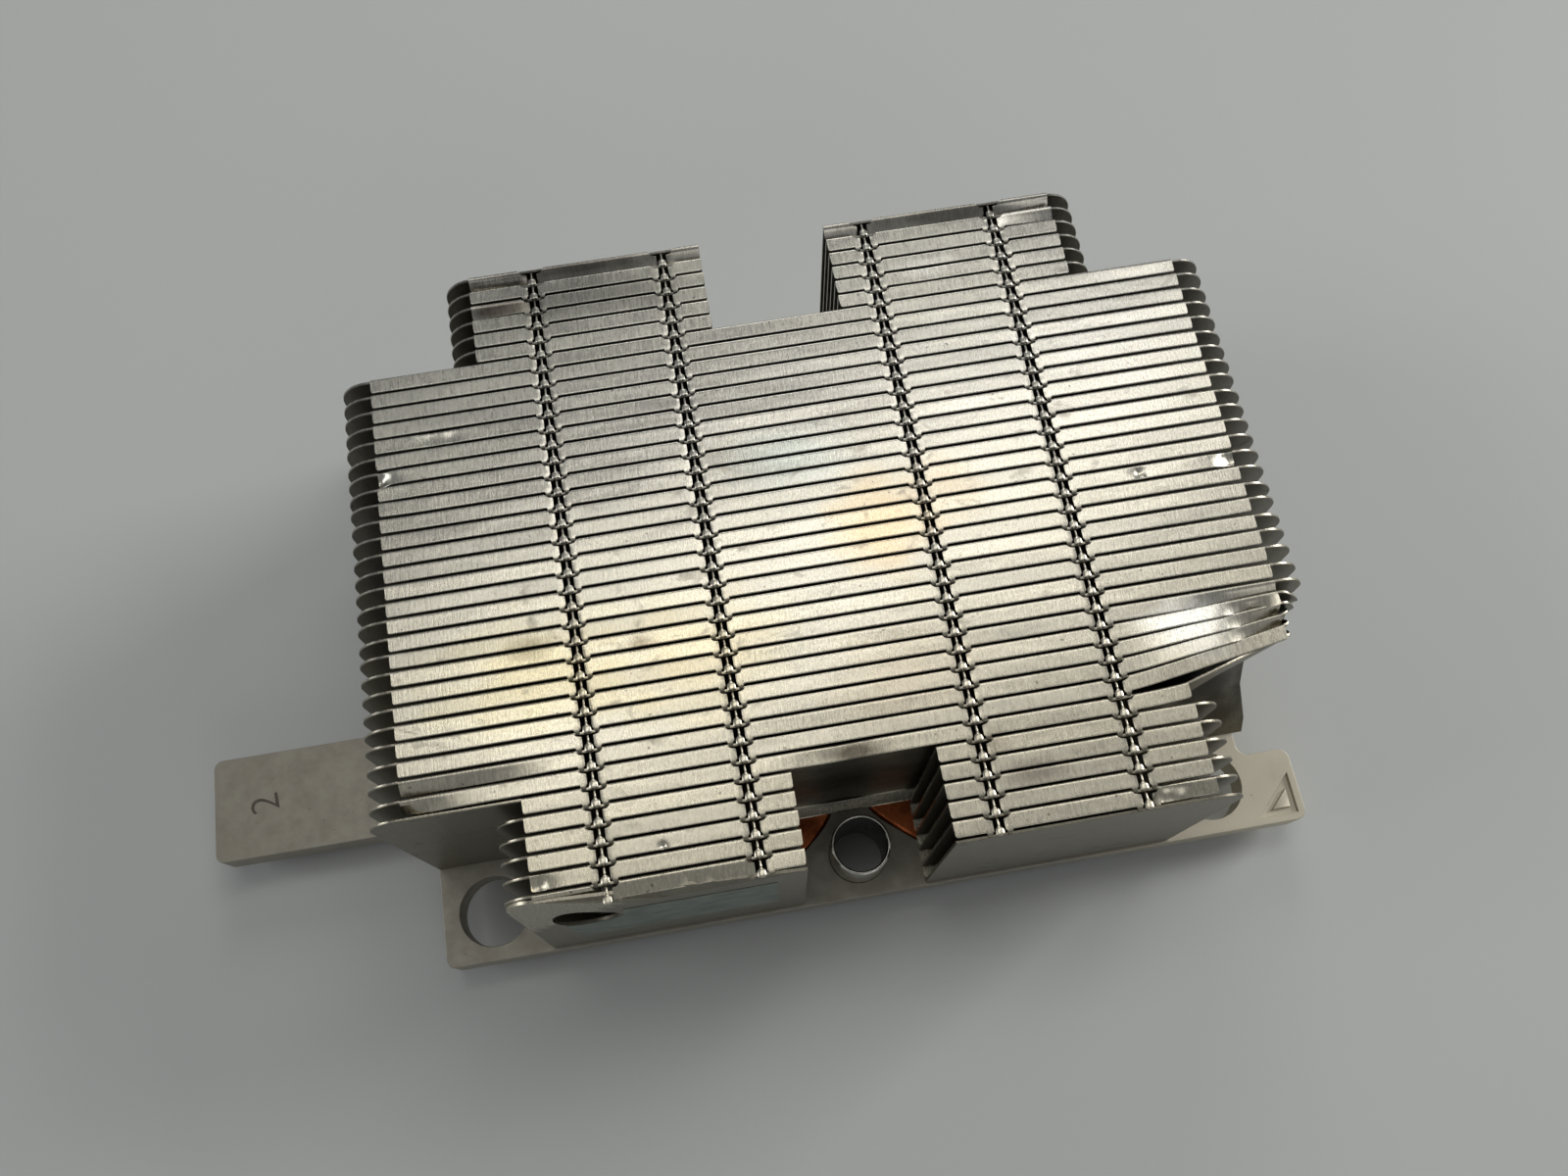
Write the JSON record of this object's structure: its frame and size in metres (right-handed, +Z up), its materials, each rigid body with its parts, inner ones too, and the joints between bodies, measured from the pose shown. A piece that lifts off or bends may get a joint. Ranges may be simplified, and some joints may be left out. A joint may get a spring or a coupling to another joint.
{
  "type": "server processor heatsink",
  "caption": "Passive low-profile processor heatsink: plated base plate with a dense stack of folded, interlocked sheet-metal fins, screw sleeves and inlaid heat pipes.",
  "frame": {"origin": "centre of the contact face on the underside", "axes": "+Z up through the fins, +X along the fins towards the side with the marked ear, -Y towards the side with the crumpled end sheet"},
  "size_m": [0.1419, 0.079, 0.0401],
  "materials": {
    "fin_metal": "bright rolled sheet with fine brush lines, scratches and stains",
    "plated_base": "matte nickel-plated plate",
    "plated_sleeve": "bright nickel",
    "copper": "bare copper, tarnished"
  },
  "bodies": {
    "root": {"base_plate": "plated_base", "end_sheet_left": "fin_metal", "end_sheet_right": "fin_metal", "fin_01_left": "fin_metal", "fin_01_right": "fin_metal", "fin_02_left": "fin_metal", "fin_02_right": "fin_metal", "fin_03_left": "fin_metal", "fin_03_right": "fin_metal", "fin_04_left": "fin_metal", "fin_04_right": "fin_metal", "fin_05_left": "fin_metal", "fin_05_right": "fin_metal", "fin_06_left": "fin_metal", "fin_06_right": "fin_metal", "fin_07": "fin_metal", "fin_08": "fin_metal", "fin_09": "fin_metal", "fin_10": "fin_metal", "fin_11": "fin_metal", "fin_12": "fin_metal", "fin_13": "fin_metal", "fin_14": "fin_metal", "fin_15": "fin_metal", "fin_16": "fin_metal", "fin_17": "fin_metal", "fin_18": "fin_metal", "fin_19": "fin_metal", "fin_20": "fin_metal", "fin_21": "fin_metal", "fin_22": "fin_metal", "fin_23": "fin_metal", "fin_24": "fin_metal", "fin_25": "fin_metal", "fin_26": "fin_metal", "fin_27": "fin_metal", "fin_28": "fin_metal", "fin_29": "fin_metal", "fin_30": "fin_metal", "fin_31": "fin_metal", "fin_32": "fin_metal", "fin_33": "fin_metal", "fin_34_left": "fin_metal", "fin_34_right": "fin_metal", "fin_35_left": "fin_metal", "fin_35_right": "fin_metal", "fin_36_left": "fin_metal", "fin_36_right": "fin_metal", "fin_37_left": "fin_metal", "fin_37_right": "fin_metal", "fin_38_left": "fin_metal", "fin_38_right": "fin_metal", "heat_pipe_left": "copper", "heat_pipe_right": "copper", "sleeve_back": "plated_sleeve", "sleeve_front": "plated_sleeve"}
  },
  "joints": []
}
